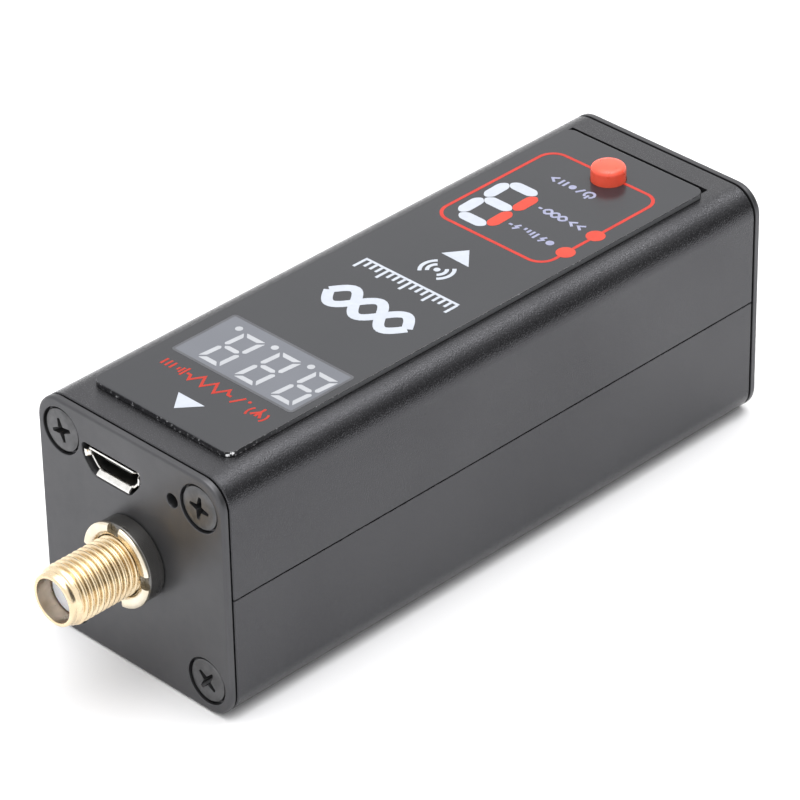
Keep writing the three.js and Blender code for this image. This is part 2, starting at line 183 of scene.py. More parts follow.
def prism(outline, z0, z1):
    return solid([[level_z(outline, z0), level_z(outline, z1)]])


def lathe(profile, segments=64, closed=False):
    """Turned about the Y axis from (radius, along) points; radius 0 is a pole."""
    bm = bmesh.new()
    rows = []
    for radius, along in profile:
        if radius < 1e-6:
            rows.append([bm.verts.new((0, along, 0))])
        else:
            rows.append([bm.verts.new((x, along, z)) for x, z in circle(0, 0, radius, segments)])
    pairs = list(zip(rows, rows[1:]))
    if closed:
        pairs.append((rows[-1], rows[0]))
    for low, high in pairs:
        for i in range(segments):
            j = (i + 1) % segments
            quad = [low[i % len(low)], low[j % len(low)], high[j % len(high)], high[i % len(high)]]
            face = list(dict.fromkeys(quad))
            if len(face) > 2:
                bm.faces.new(face)
    return bm


def box_mesh(low, high):
    bm = bmesh.new()
    bmesh.ops.create_cube(bm, size=1)
    size = [b - a for a, b in zip(low, high)]
    centre = [(a + b) / 2 for a, b in zip(low, high)]
    bmesh.ops.scale(bm, vec=size, verts=bm.verts)
    bmesh.ops.translate(bm, vec=centre, verts=bm.verts)
    return bm


def merge(target, *others):
    """Adds other meshes to target, as separate lumps."""
    for other in others:
        mesh = bpy.data.meshes.new("lump")
        other.to_mesh(mesh)
        other.free()
        target.from_mesh(mesh)
        bpy.data.meshes.remove(mesh)
    return target


def gather(shapes):
    """One mesh from several."""
    return merge(bmesh.new(), *shapes)


def transform(bm, matrix):
    bmesh.ops.transform(bm, matrix=matrix, verts=bm.verts)
    return bm


def mesh_object(name, bm):
    """Object in metres from a mesh in mm."""
    bmesh.ops.recalc_face_normals(bm, faces=bm.faces)
    bmesh.ops.scale(bm, vec=(MM, MM, MM), verts=bm.verts)
    mesh = bpy.data.meshes.new(name)
    bm.to_mesh(mesh)
    bm.free()
    obj = bpy.data.objects.new(name, mesh)
    scene.collection.objects.link(obj)
    return obj


def carve(obj, cutters):
    """Cuts closed meshes out of obj."""
    for i, cutter in enumerate(cutters):
        tool = mesh_object(f"cutter_{i}", cutter)
        step = obj.modifiers.new("cut", "BOOLEAN")
        step.operation = "DIFFERENCE"
        step.solver = "EXACT"
        step.object = tool
        depsgraph = bpy.context.evaluated_depsgraph_get()
        result = bpy.data.meshes.new_from_object(obj.evaluated_get(depsgraph))
        obj.modifiers.clear()
        old = obj.data
        obj.data = result
        bpy.data.meshes.remove(old)
        bpy.data.objects.remove(tool)
    return obj


def mesh_in_mm(obj):
    """Mesh in mm from an object in metres."""
    bm = bmesh.new()
    bm.from_mesh(obj.data)
    bmesh.ops.scale(bm, vec=(1 / MM,) * 3, verts=bm.verts)
    return bm


def carved(bm, cutters):
    """The same mesh with the cutters taken out of it."""
    obj = carve(mesh_object("blank", bm), cutters)
    out = mesh_in_mm(obj)
    bpy.data.objects.remove(obj)
    return out


def shade(obj, angle=32.0):
    """Smooth shading with edges over the angle kept sharp, even across long thin faces."""
    for face in obj.data.polygons:
        face.use_smooth = True
    obj.data.set_sharp_from_angle(angle=math.radians(angle))
    step = obj.modifiers.new("even_shading", "WEIGHTED_NORMAL")
    step.keep_sharp = True


def soften_edges(obj, width, angle=32.0):
    """Rounds the sharp edges by a width in mm."""
    for face in obj.data.polygons:
        face.use_smooth = True
    step = obj.modifiers.new("edge_round", "BEVEL")
    step.width = width * MM
    step.segments = 2
    step.limit_method = "ANGLE"
    step.angle_limit = math.radians(angle)
    step.harden_normals = True


def piece(name, bm, finish, nodes=(), body="case", round_by=0.0, angle=32.0):
    """A finished piece of the object, in place of the named CAD nodes; round_by is in mm."""
    obj = bm if isinstance(bm, bpy.types.Object) else mesh_object(name, bm)
    obj.name = name
    for material in finish if isinstance(finish, (list, tuple)) else (finish,):
        obj.data.materials.append(material)
    if round_by:
        soften_edges(obj, round_by, angle)
    else:
        shade(obj, angle)
    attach(obj, body)
    if nodes:
        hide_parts(*nodes)
    return obj


# ---------------------------------------------------------------- finishes
class Finish:
    """A Principled material with procedural detail in object space."""

    def __init__(self, name, color, roughness, **sockets):
        self.material = bpy.data.materials.new(name)
        self.material.use_nodes = True
        self.tree = self.material.node_tree
        self.shader = self.tree.nodes["Principled BSDF"]
        self.shader.inputs["Base Color"].default_value = (*color, 1)
        self.shader.inputs["Roughness"].default_value = roughness
        for key, value in sockets.items():
            self.shader.inputs[key.replace("_", " ")].default_value = value
        self.coords = self.tree.nodes.new("ShaderNodeTexCoord").outputs["Object"]

    def pattern(self, scale, detail=2.0, stretch=(1, 1, 1)):
        """Value of a noise texture."""
        mapping = self.tree.nodes.new("ShaderNodeMapping")
        mapping.inputs["Scale"].default_value = stretch
        self.tree.links.new(self.coords, mapping.inputs["Vector"])
        texture = self.tree.nodes.new("ShaderNodeTexNoise")
        texture.inputs["Scale"].default_value = scale
        texture.inputs["Detail"].default_value = detail
        self.tree.links.new(mapping.outputs[0], texture.inputs["Vector"])
        return texture.outputs[0]

    def spread(self, source, low, high, start=0.3, end=0.7):
        """Maps a value that runs from start to end onto low to high."""
        node = self.tree.nodes.new("ShaderNodeMapRange")
        node.inputs["From Min"].default_value = start
        node.inputs["From Max"].default_value = end
        node.inputs["To Min"].default_value = low
        node.inputs["To Max"].default_value = high
        self.tree.links.new(source, node.inputs["Value"])
        return node.outputs[0]

    def mottle(self, other, scale, detail=3.0, start=0.35, end=0.65, stretch=(1, 1, 1)):
        """Base colour drifts to another colour."""
        ramp = self.tree.nodes.new("ShaderNodeValToRGB")
        ramp.color_ramp.elements[0].position = start
        ramp.color_ramp.elements[0].color = self.shader.inputs["Base Color"].default_value
        ramp.color_ramp.elements[1].position = end
        ramp.color_ramp.elements[1].color = (*other, 1)
        self.tree.links.new(self.pattern(scale, detail, stretch), ramp.inputs[0])
        self.tree.links.new(ramp.outputs[0], self.shader.inputs["Base Color"])
        return self

    def uneven(self, low, high, scale, detail=3.0, stretch=(1, 1, 1)):
        """Roughness drifts between two values."""
        value = self.spread(self.pattern(scale, detail, stretch), low, high)
        self.tree.links.new(value, self.shader.inputs["Roughness"])
        return self

    def along(self, other, axis, start, end):
        """Base colour runs to another colour along an axis; start and end are in mm."""
        split = self.tree.nodes.new("ShaderNodeSeparateXYZ")
        self.tree.links.new(self.coords, split.inputs[0])
        share = self.spread(split.outputs[axis], 0.0, 1.0, start * MM, end * MM)
        mix = self.tree.nodes.new("ShaderNodeMixRGB")
        mix.inputs[2].default_value = (*other, 1)
        base = self.shader.inputs["Base Color"]
        self.tree.links.new(share, mix.inputs[0])
        self.tree.links.new(base.links[0].from_socket, mix.inputs[1])
        self.tree.links.new(mix.outputs[0], base)
        return self

    def relief(self, scale, depth, strength=1.0, detail=2.0, stretch=(1, 1, 1)):
        """Fine relief; depth is in mm."""
        bump = self.tree.nodes.new("ShaderNodeBump")
        bump.inputs["Strength"].default_value = strength
        bump.inputs["Distance"].default_value = depth * MM
        self.tree.links.new(self.pattern(scale, detail, stretch), bump.inputs["Height"])
        self.tree.links.new(bump.outputs[0], self.shader.inputs["Normal"])
        return self


anodised = (
    Finish("anodised", (0.052, 0.052, 0.056), 0.25, Metallic=0.8)
    .mottle((0.061, 0.061, 0.065), 60)
    .uneven(0.08, 0.3, 8000, 1.0)
    .relief(8000, 0.045, 1.0, 1.0)
)
plate_black = (
    Finish("plate_black", (0.072, 0.072, 0.076), 0.34, Metallic=0.8)
    .mottle((0.085, 0.085, 0.089), 90)
    .uneven(0.32, 0.42, 900)
    .relief(8500, 0.02, 0.7, 1.0)
)
screw_black = (
    Finish("screw_black", (0.105, 0.105, 0.108), 0.34, Metallic=0.8)
    .mottle((0.075, 0.075, 0.077), 1200)
    .uneven(0.28, 0.42, 1800)
    .relief(3600, 0.02, 0.35)
)
collar_black = (
    Finish("collar_black", (0.17, 0.165, 0.158), 0.22, Metallic=0.9)
    .mottle((0.15, 0.146, 0.14), 900)
    .uneven(0.19, 0.26, 900)
    .relief(2500, 0.004, 0.15, 2.0, (1, 6, 1))
)
gold = (
    Finish("gold", (0.80, 0.665, 0.455), 0.24, Metallic=1.0)
    .mottle((0.74, 0.585, 0.38), 500)
    .uneven(0.2, 0.31, 1200)
    .relief(2500, 0.01, 0.25, 2.0, (1, 8, 1))
)
pale_gold = (
    Finish("pale_gold", (0.80, 0.735, 0.60), 0.2, Metallic=1.0)
    .mottle((0.72, 0.63, 0.48), 500)
    .uneven(0.14, 0.26, 1200)
    .relief(2500, 0.008, 0.2)
)
# Darker gold for the inside of the jack's bore: painted shade in the hollow.
gold_bore_painted_shade = (
    Finish("gold_bore_painted_shade", (0.52, 0.44, 0.34), 0.32, Metallic=1.0)
    .mottle((0.66, 0.56, 0.44), 700)
    .uneven(0.25, 0.4, 900)
    .relief(2500, 0.01, 0.3, 2.0, (1, 8, 1))
)
ptfe = (
    Finish("ptfe", (0.80, 0.83, 0.90), 0.45, Subsurface_Weight=0.1, Subsurface_Scale=0.0006)
    .mottle((0.72, 0.75, 0.82), 800)
    .relief(2000, 0.01, 0.3)
)
acrylic = (
    Finish("acrylic", (0.022, 0.023, 0.0265), 0.2, IOR=1.5)
    .mottle((0.025, 0.026, 0.0295), 80)
    .uneven(0.17, 0.24, 400)
    .relief(1500, 0.01, 0.06)
)
# Cut edges of the panel: the pale flecks in the colour are painted glints; the rough finish and deep relief
# are the edge's own.
acrylic_cut_painted_glints = (
    Finish("acrylic_cut_painted_glints", (0.012, 0.012, 0.014), 0.3, Specular_IOR_Level=0.4)
    .mottle((0.34, 0.34, 0.35), 2600, 3.0, 0.6, 0.7)
    .uneven(0.12, 0.5, 1600)
    .relief(2600, 0.14, 0.9)
)
# Long flat sides of the panel: the pale flecks are painted glints, and the colour turning light grey from y
# -31 to -22 mm is a painted reflection of the bright surroundings.
acrylic_side_painted_light = (
    Finish("acrylic_side_painted_light", (0.012, 0.012, 0.014), 0.4, Specular_IOR_Level=0.4)
    .mottle((0.30, 0.30, 0.31), 2600, 3.0, 0.6, 0.68)
    .along((0.085, 0.087, 0.091), 1, -31, -22)
    .relief(2600, 0.05, 0.5)
)
# The near corner of the panel's edge: its white flecks are painted glints.
acrylic_painted_glints = (
    Finish("acrylic_painted_glints", (0.012, 0.012, 0.014), 0.2, Specular_IOR_Level=0.5)
    .mottle((0.95, 0.95, 0.97), 3200, 2.0, 0.53, 0.59)
    .relief(3200, 0.14, 0.9)
)
display_grey = (
    Finish("display_grey", (0.130, 0.137, 0.155), 0.32, Specular_IOR_Level=0.3)
    .mottle((0.138, 0.145, 0.164), 130)
    .uneven(0.28, 0.38, 300)
)
display_edge = (
    Finish("display_edge", (0.075, 0.077, 0.085), 0.32, Specular_IOR_Level=0.3)
    .mottle((0.09, 0.092, 0.1), 400)
)
segment_white = (
    Finish("segment_white", (0.37, 0.38, 0.40), 0.3, Specular_IOR_Level=0.3)
    .mottle((0.40, 0.41, 0.43), 600)
)


def ink(name, color, other, scale):
    return Finish(name, color, 0.35, Specular_IOR_Level=0.3).mottle(other, scale)


print_white = ink("print_white", (0.455, 0.485, 0.535), (0.43, 0.458, 0.508), 1500)
print_blue = ink("print_blue", (0.25, 0.26, 0.38), (0.30, 0.31, 0.43), 1500)
print_red = ink("print_red", (0.42, 0.020, 0.007), (0.37, 0.016, 0.005), 1500)
lamp_red = ink("lamp_red", (0.54, 0.050, 0.026), (0.50, 0.042, 0.022), 900)
line_red = ink("line_red", (0.43, 0.020, 0.010), (0.50, 0.026, 0.014), 500)
red_plastic = (
    Finish("red_plastic", (0.84, 0.098, 0.050), 0.38, Subsurface_Weight=0.15, Subsurface_Scale=0.0008)
    .mottle((0.78, 0.086, 0.044), 700)
    .uneven(0.26, 0.4, 1200)
    .relief(2500, 0.008, 0.3)
)
tin = (
    Finish("tin", (0.82, 0.81, 0.78), 0.2, Metallic=1.0)
    .mottle((0.70, 0.69, 0.66), 900)
    .uneven(0.14, 0.3, 1500)
    .relief(1800, 0.01, 0.3)
)
black_plastic = (
    Finish("black_plastic", (0.02, 0.02, 0.021), 0.45)
    .mottle((0.03, 0.03, 0.03), 900)
    .relief(3000, 0.01, 0.4)
)
white_plastic = (
    Finish("white_plastic", (0.78, 0.78, 0.75), 0.4)
    .mottle((0.72, 0.72, 0.69), 500)
    .relief(3000, 0.01, 0.3)
)
board_green = (
    Finish("board_green", (0.02, 0.11, 0.045), 0.35, Coat_Weight=0.5, Coat_Roughness=0.2)
    .mottle((0.035, 0.16, 0.07), 500, 1.0, 0.48, 0.52, (1, 0.2, 1))
    .relief(800, 0.02, 0.3, 1.0, (1, 0.2, 1))
)
foam = (
    Finish("foam", (0.03, 0.03, 0.03), 0.95)
    .mottle((0.055, 0.055, 0.055), 1500)
    .relief(1800, 0.1, 0.9)
)
foil = (
    Finish("foil", (0.55, 0.56, 0.58), 0.3, Metallic=0.8)
    .mottle((0.48, 0.49, 0.5), 200)
    .uneven(0.2, 0.4, 500)
    .relief(180, 0.15, 0.4)
)
red_wire = (
    Finish("red_wire", (0.5, 0.02, 0.02), 0.4)
    .mottle((0.42, 0.015, 0.015), 900)
    .relief(2000, 0.01, 0.3)
)
black_wire = (
    Finish("black_wire", (0.02, 0.02, 0.02), 0.4)
    .mottle((0.03, 0.03, 0.03), 900)
    .relief(2000, 0.01, 0.3)
)
red_lens = (
    Finish("red_lens", (0.8, 0.05, 0.03), 0.15, Coat_Weight=0.6, Coat_Roughness=0.05)
    .mottle((0.65, 0.035, 0.02), 700)
    .relief(1500, 0.01, 0.2)
)
dark_lens = (
    Finish("dark_lens", (0.012, 0.006, 0.006), 0.2, Coat_Weight=0.4, Coat_Roughness=0.1)
    .mottle((0.02, 0.008, 0.008), 900)
    .relief(1500, 0.01, 0.2)
)
# Dark tin for the inside of the charging socket behind its mouth: painted shade inside the socket.
tin_inside_painted_shade = (
    Finish("tin_inside_painted_shade", (0.13, 0.13, 0.125), 0.4, Metallic=1.0)
    .mottle((0.20, 0.20, 0.19), 900)
    .relief(1800, 0.01, 0.3)
)

# CAD pieces that keep their shape, nearly all of them inside the case
CARRIED_OVER = [
    (display_grey, "three_digit_display", "single_digit_display"),
    (red_lens, "watt_indicator_led", "swr_indicator_led"),
    (dark_lens, "charge_indicator_led"),
    (black_plastic, "power_switch_base", "board_header"),
    (white_plastic, "power_switch_plunger", "battery_socket", "battery_plug"),
    (board_green, "display_board", "rf_board"),
    (tin, "rf_shield"),
    (foam, "battery_pad"),
    (foil, "battery_cell"),
    (red_wire, "battery_lead_positive"),
    (black_wire, "battery_lead_negative"),
]
for finish, *node_names in CARRIED_OVER:
    for node_name in node_names:
        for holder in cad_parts[node_name].material_slots:
            holder.material = finish.material


# ---------------------------------------------------------------- half shells
BOSS = 2.4
BORE = 1.5
INNER = HALF_WIDTH - WALL
RIB_DEPTH = 1.1
LOWER_RIB = (10.4, 11.3)
TURNED_UPPER_RIB = (HEIGHT - 19.45, HEIGHT - 18.55)
END_BREAK = 0.1
SEAM = 0.26


def shell_outline(lip, rib_low, rib_high, flip):
    """Closed outline in X and Z; worked out for the lower shell, and turned over for the upper."""
    rib = INNER - RIB_DEPTH
    rise = math.sqrt(BOSS**2 - (INNER - SCREW_X) ** 2)
    run = math.sqrt(BOSS**2 - (SCREW_Z[0] - WALL) ** 2)
    start = math.degrees(math.atan2(rise, INNER - SCREW_X))
    end = 180 + math.degrees(math.atan2(SCREW_Z[0] - WALL, run))
    right = [(INNER, rib_high), (rib, rib_high), (rib, rib_low), (INNER, rib_low)]
    right += arc(SCREW_X, SCREW_Z[0], BOSS, start, end, 18)
    inside = lip + right
    outside = arc(HALF_WIDTH - CORNER, CORNER, CORNER, 270, 360, 14)
    half = outside + inside
    other = [(-x, z) for x, z in reversed(half)]
    outline = half + other
    if flip:
        outline = [(x, HEIGHT - z) for x, z in reversed(outline)]
    return outline


def shell(lip, rib_low, rib_high, flip):
    """Half shell extruded along the box, with its long screw bores."""
    y0, y1 = shell_low[1], shell_high[1]
    levels = [(y0, END_BREAK), (y0 + END_BREAK, 0), (y1 - END_BREAK, 0), (y1, END_BREAK)]
    outline = shell_outline(lip, rib_low, rib_high, flip)
    loops = [[level_y(inset(outline, amount), y) for y, amount in levels]]
    for side in (-1, 1):
        bore = circle(side * SCREW_X, SCREW_Z[1] if flip else SCREW_Z[0], BORE, 32)
        loops.append([level_y(bore, y0), level_y(bore, y1)])
    return solid(loops)


def broken_corner(z):
    """Outer corner of the joint between the shells."""
    return [(HALF_WIDTH, z - 0.14), (HALF_WIDTH - 0.05, z - 0.04), (HALF_WIDTH - 0.14, z)]


# Lap joint: the lower shell has a tongue along its wall's inner half, and the upper one a step over it
LAP = INNER + WALL / 2
edge = SPLIT - 0.05
lower_lip = broken_corner(edge)
lower_lip += [(LAP - 0.1, edge), (LAP - 0.1, edge + 0.6), (LAP - 0.16, edge + 0.65), (INNER, edge + 0.65)]
lower = shell(lower_lip, *LOWER_RIB, False)
piece("lower_shell_body", lower, anodised.material, ["lower_shell"])

turned_edge = HEIGHT - SPLIT
upper_lip = broken_corner(turned_edge)
upper_lip += [(LAP, turned_edge), (LAP, turned_edge - 0.8), (INNER, turned_edge - 0.8)]
upper = mesh_object("upper_shell_body", shell(upper_lip, *TURNED_UPPER_RIB, True))


def window_cutter(node):
    low, high = corners(node)
    margin = 0.3
    outline = rounded_box(low[0] - margin, high[0] + margin, low[1] - margin, high[1] + margin, 0.6, 4)
    return prism(outline, low[2], PANEL_TOP)


def round_cutter(node, margin):
    low, high = corners(node)
    radius = (high[0] - low[0]) / 2 + margin
    x, y, _ = mid_point(node)
    return prism(circle(x, y, radius, 32), HEIGHT - 6, PANEL_TOP)


def panel_pocket_end():
    """The part of the panel's pocket that the panel leaves open at its far end."""
    low = (panel_low[0] - 0.3, panel_high[1] - 0.2, HEIGHT - 0.55)
    return box_mesh(low, (panel_high[0] - 0.65, panel_high[1] + 1.05, HEIGHT + 1))


carve(
    upper,
    [
        window_cutter("three_digit_display"),
        window_cutter("single_digit_display"),
        round_cutter("watt_indicator_led", 0.2),
        round_cutter("swr_indicator_led", 0.2),
        round_cutter("power_button", 0.3),
        panel_pocket_end(),
    ],
)
piece("upper_shell_body", upper, anodised.material, ["upper_shell"])


# ---------------------------------------------------------------- end plates
# Corners of the socket as shares of its width and height; the lowest two are in from the others
USB_CORNERS = [(-0.5, -0.5), (0.5, -0.5), (0.5, 0.05), (0.5, 0.5), (-0.5, 0.5), (-0.5, 0.05)]


def usb_outline(top, bottom, height, reach, steps=5):
    """Charging socket outline, wide side up, counter-clockwise."""
    points = []
    for across, up in USB_CORNERS:
        width = bottom if up < 0 else top
        points.append((USB_X + across * width, USB_Z + up * height))
    return soften(points, reach, steps)


def hole(outline, radius_steps):
    """Rings of a hole; the steps are (y, amount that the hole opens by)."""
    clockwise = list(reversed(outline))
    return [level_y(inset(clockwise, amount), y) for y, amount in radius_steps]


def end_plate(with_socket):
    """Plate with a rounded front edge, a groove towards the shells and its holes."""
    rounding = 0.3
    levels = []
    for i in range(5):
        angle = math.radians(22.5 * i)
        levels.append((FACE + rounding * (1 - math.cos(angle)), rounding * (1 - math.sin(angle))))
    groove = PLATE_BACK - SEAM
    levels += [(groove - 0.05, 0), (groove, 0.05), (groove + 0.01, 0.7), (PLATE_BACK, 0.7)]
    outline = rounded_box(-HALF_WIDTH, HALF_WIDTH, 0, HEIGHT, CORNER, 12)
    loops = [[level_y(inset(outline, amount), y) for y, amount in levels]]
    break_steps = [(FACE, 0.08), (FACE + 0.03, 0.03), (FACE + 0.1, 0), (PLATE_BACK, 0)]
    loops.append(hole(circle(0, JACK_Z, 3.275, 48), break_steps))
    for x in (-SCREW_X, SCREW_X):
        for z in SCREW_Z:
            sink = [(FACE, 1.14), (FACE + 0.04, 1.07), (FACE + 0.62, 1.05), (PLATE_BACK, 0.02)]
            loops.append(hole(circle(x, z, BORE, 40), sink))
    if with_socket:
        loops.append(hole(usb_outline(8.2, 5.2, 3.3, 0.55), break_steps))
        light_x = mid_point("charge_indicator_led")[0]
        loops.append(hole(circle(light_x, HEIGHT - 4.3, 0.75, 24), break_steps))
    return solid(loops)


PLATE_ANGLE = 26  # the rounded edge turns 22.5 degrees at a step and stays smooth; the hole edges are sharp
plates = {"antenna": end_plate(True), "transmitter": transform(end_plate(False), half_turn)}
for end, bm in plates.items():
    node = f"{end}_end_plate"
    piece(f"{end}_plate_panel", bm, plate_black.material, [node], angle=PLATE_ANGLE)


# ---------------------------------------------------------------- screws
def cross_cutter():
    """Cross recess: two tapered blades and a deep round middle."""
    arm = [(-1.3, -0.17), (-0.42, -0.33), (0.42, -0.33), (1.3, -0.17)]
    arm += [(-x, -z) for x, z in arm]
    small = [(x * 0.55, z * 0.6) for x, z in arm]
    blades = []
    for turn in range(2):
        blade = solid([[level_y(arm, -0.4), level_y(arm, 0.0), level_y(small, 0.95)]])
        blades.append(transform(blade, Matrix.Rotation(math.pi / 2 * turn, 4, "Y")))
    middle = lathe([(0, -0.4), (0.5, -0.4), (0.5, 0.0), (0.2, 1.0), (0, 1.05)], 20)
    return [*blades, middle]


def screw_blank():
    """Countersunk screw with a slightly domed head and a ringed shank."""
    profile = [(0, -0.07), (1.2, -0.05), (1.8, -0.02), (2.15, 0.02), (2.28, 0.07), (2.33, 0.16)]
    pitch = 0.45
    along = 1.3
    profile += [(2.33, 0.3), (1.25, 1.05), (1.12, along)]
    while along < 6.2:
        profile += [(1.25, along + 0.18), (1.25, along + 0.26), (1.05, along + pitch)]
        along += pitch
    profile += [(0.6, 6.9), (0, 7.0)]
    return lathe(profile, 40)


def screws(end, turn, spins):
    """The four screws of a plate, each with its recess turned by its own angle."""
    spots = [(x, FACE + SCREW_SINK, z) for z in SCREW_Z for x in (-SCREW_X, SCREW_X)]
    for number, (spot, angle) in enumerate(zip(spots, spins), 1):
        spin = Matrix.Rotation(math.radians(angle), 4, "Y")
        bm = transform(mesh_in_mm(screw_master), turn @ Matrix.Translation(spot) @ spin)
        node = f"{end}_plate_screw_{number}"
        piece(f"{node}_body", bm, screw_black.material, [node])


SCREW_SINK = 0.12
screw_master = carve(mesh_object("screw_master", screw_blank()), cross_cutter())
screws("antenna", Matrix.Identity(4), (12, 38, -17, 8))
screws("transmitter", half_turn, (27, -14, 51, 8))
bpy.data.objects.remove(screw_master)


# ---------------------------------------------------------------- coaxial jacks
# They are turned about the Y axis at the antenna end, and lifted to their height when they are placed
THREAD_RADIUS = 3.175
PITCH = 25.4 / 36
THREAD_DEPTH = 0.38
BORE_RADIUS = 2.3
RING_BORE = THREAD_RADIUS + 0.1
TIP = corners("antenna_jack_body")[0][1]


def tube(rings, inside):
    """Closed skin through rings that join end to end; strip number inside gets the second material."""
    bm = bmesh.new()
    rows = [[bm.verts.new(point) for point in ring] for ring in rings]
    for index, (low, high) in enumerate(zip(rows, rows[1:] + rows[:1])):
        for i in range(len(low)):
            j = (i + 1) % len(low)
            face = bm.faces.new((low[i], low[j], high[j], high[i]))
            face.material_index = 1 if index == inside else 0
    return bm


def thread_height(phase):
    """Share of full height at a phase of one turn: flat root, straight flank, flat crest."""
    phase %= 1.0
    distance = abs(phase - 0.5) * 2
    return 0.5 + 0.5 * math.sin(math.pi * (min(1.0, max(0.0, (0.9 - distance) / 0.8)) - 0.5))


def threaded_barrel():
    """Outside and inside of the jack, with a true helix outside."""
    segments = 64
    per_turn = 18
    start = TIP + 0.62
    stop = nut_low[1] + 1.2
    steps = int((stop - start) / PITCH * per_turn)
    root = THREAD_RADIUS - THREAD_DEPTH
    lead = [(BORE_RADIUS + 0.02, TIP + 0.08), (BORE_RADIUS + 0.1, TIP), (2.62, TIP), (2.74, TIP + 0.1)]
    lead.append((2.8, start - 0.3))
    rings = [level_y(circle(0, 0, radius, segments), y) for radius, y in lead]
    for i in range(steps + 1):
        y = start + (stop - start) * i / steps
        limit = 2.84 + (y - start) * 0.42
        ring = []
        for k, (c, s) in enumerate(circle(0, 0, 1, segments)):
            share = thread_height((y - start) / PITCH - k / segments)
            radius = min(root + THREAD_DEPTH * share, limit)
            ring.append((radius * c, y, radius * s))
        rings.append(ring)
    rear = [(root, FACE + 1.1), (4.2, FACE + 1.1), (4.2, FACE + 3.1), (2.8, FACE + 3.1)]
    rear += [(2.8, FACE + 4.5), (BORE_RADIUS, FACE + 4.5)]
    rings += [level_y(circle(0, 0, radius, segments), y) for radius, y in rear]
    return tube(rings, len(rings) - 1)


def jack_nut():
    """Round nut with four slots, its front corner rounded."""
    y0, y1 = nut_low[1], nut_high[1]
    profile = [(RING_BORE, y1), (RING_BORE, y0 + 0.34), (RING_BORE + 0.28, y0 + 0.1)]
    profile += [(3.78, y0), (4.12, y0)]
    profile += [(4.36, y0 + 0.04), (4.5, y0 + 0.11), (4.58, y0 + 0.22), (4.6, y0 + 0.36)]
    profile += [(4.6, y1 - 0.04), (4.56, y1)]
    cutters = []
    for turn in range(4):
        cutter = box_mesh((3.72, y0 - 1, -0.75), (6, y1 + 1, 0.75))
        cutters.append(transform(cutter, Matrix.Rotation(math.pi / 2 * turn, 4, "Y")))
    return carved(lathe(profile, 96, closed=True), cutters)


def jack_collar():
    y0, y1 = collar_low[1], collar_high[1]
    profile = [(RING_BORE, y1), (RING_BORE, y0 + 0.1), (RING_BORE + 0.1, y0)]
    profile += [(4.25 + x, y0 + 0.2 - y) for x, y in arc(0, 0, 0.2, 90, 0, 5)]
    profile += [(4.45, y1 - 0.08), (4.38, y1)]
    return lathe(profile, 96, closed=True)


def jack_insulator():
    face = corners("antenna_jack_insulator")[0][1]
    back = FACE + 4.6
    profile = [(0.69, back), (0.69, face + 0.06), (0.75, face), (1.98, face), (2.0, face + 0.04)]
    profile += [(2.06, face + 0.04), (2.08, face), (2.16, face), (2.2, face + 0.06), (2.2, back)]
    return lathe(profile, 48, closed=True)


def jack_contact():
    """Socket contact: split tube with a round lip and a deep bore."""
    tip, rear = (corner[1] for corner in corners("antenna_jack_contact"))
    profile = [(0, tip + 2.2), (0.36, tip + 2.2), (0.36, tip + 0.2), (0.45, tip + 0.02)]
    profile += [(0.54, tip), (0.61, tip + 0.06), (0.635, tip + 0.2), (0.635, rear), (0, rear)]
    return carved(lathe(profile, 32), [box_mesh((-0.07, tip - 0.5, -1), (0.07, tip + 1.7, 1))])


JACK_PIECES = [
    ("body", "barrel", threaded_barrel, [gold.material, gold_bore_painted_shade.material], "gold", 50),
    ("nut", "nut_ring", jack_nut, pale_gold.material, "gold", 35),
    ("collar", "collar_ring", jack_collar, collar_black.material, "black_collar", 35),
    ("insulator", "insulator_disc", jack_insulator, ptfe.material, "ptfe", 35),
    ("contact", "contact_socket", jack_contact, gold.material, "gold", 35),
]
jack_seat = Matrix.Translation((0, 0, JACK_Z))
for end, turn in (("antenna", Matrix.Identity(4)), ("transmitter", half_turn)):
    for node, title, make, material, slot, angle in JACK_PIECES:
        bm = transform(make(), turn @ jack_seat)
        piece(f"{end}_jack_{title}", bm, material, [f"{end}_jack_{node}"], angle=angle)


# ---------------------------------------------------------------- charging socket
def socket_shell():
    """Stamped tube with its lips flared outwards at the mouth."""
    mouth, rear = usb_low[1], usb_high[1]
    outer = usb_outline(7.2, 5.0, 2.35, 0.5, 8)
    wall = 0.25
    # The lips reach out by these amounts, and between them the mouth is sunk
    lips, sinks = [], []
    for x, z in outer:
        across = abs(x - USB_X)
        up = z - USB_Z
        if up < -1.05 and across < 2.25:
            lips.append(0.42)
        elif up > 1.05 and across < 3.1:
            lips.append(0.16)
        elif across > 3.35 and 0.1 < up < 0.8:
            lips.append(0.3)
        else:
            lips.append(0.0)
        sinks.append(0.45 if lips[-1] == 0 else 0.0)
    ways = normals(outer)

    def ring(y, grow, flare, front=0.0):
        points = []
        for (x, z), way, lip, sink in zip(outer, ways, lips, sinks):
            amount = grow + lip * flare
            points.append((x - way.x * amount, y + sink * front, z - way.y * amount))
        return points

    rings = [
        ring(rear, -wall, 0),
        ring(mouth + 0.6, -wall, 0),
        ring(mouth + 0.3, -wall, 0.25, 0.5),
        ring(mouth + 0.08, -wall, 0.8, 1),
        ring(mouth, -wall + 0.08, 1.0, 1),
        ring(mouth + 0.02, -0.02, 1.05, 1),
        ring(mouth + 0.14, 0, 1.0, 1),
        ring(mouth + 0.36, 0, 0.35, 0.5),
        ring(mouth + 0.62, 0, 0),
        ring(rear, 0, 0),
    ]
    return tube(rings, 0)


